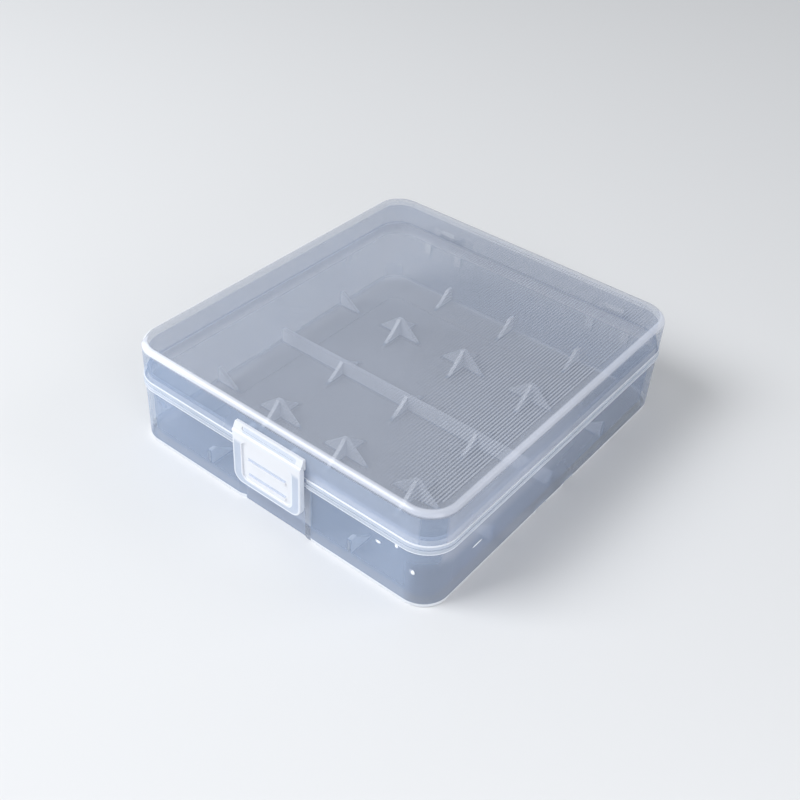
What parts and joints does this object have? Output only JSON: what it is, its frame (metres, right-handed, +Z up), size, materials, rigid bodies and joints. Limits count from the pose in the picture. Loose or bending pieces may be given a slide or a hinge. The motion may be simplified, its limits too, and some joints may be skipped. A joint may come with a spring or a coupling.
{
  "type": "hinged battery storage box",
  "caption": "Flat hinged translucent plastic box with a ribbed tray for long round cells, a clip-on lid hinge and a hooked front latch.",
  "frame": {"origin": "centre of the closed box's flat underside", "axes": "+Z up, X along the latch side, the latch faces -Y and the hinge is at +Y"},
  "size_m": [0.073, 0.086, 0.0222],
  "materials": {
    "milky_plastic": "milky translucent polypropylene, satin gloss",
    "white_plastic": "whiter, nearly opaque polypropylene, satin gloss"
  },
  "bodies": {
    "base": {"base_tray": "milky_plastic"},
    "lid": {"lid": "milky_plastic", "latch_plate": "white_plastic"},
    "latch": {"latch_flap": "white_plastic"}
  },
  "joints": [
    {"name": "lid_hinge", "type": "hinge", "parent": "base", "child": "lid", "pos_m": [0, 0.04255, 0.0134], "axis": [-1, 0, 0], "range_deg": [0, 180]},
    {"name": "latch_hinge", "type": "hinge", "parent": "lid", "child": "latch", "pos_m": [0.0005, -0.04098, 0.01745], "axis": [-1, 0, 0], "range_deg": [0, 100]}
  ]
}
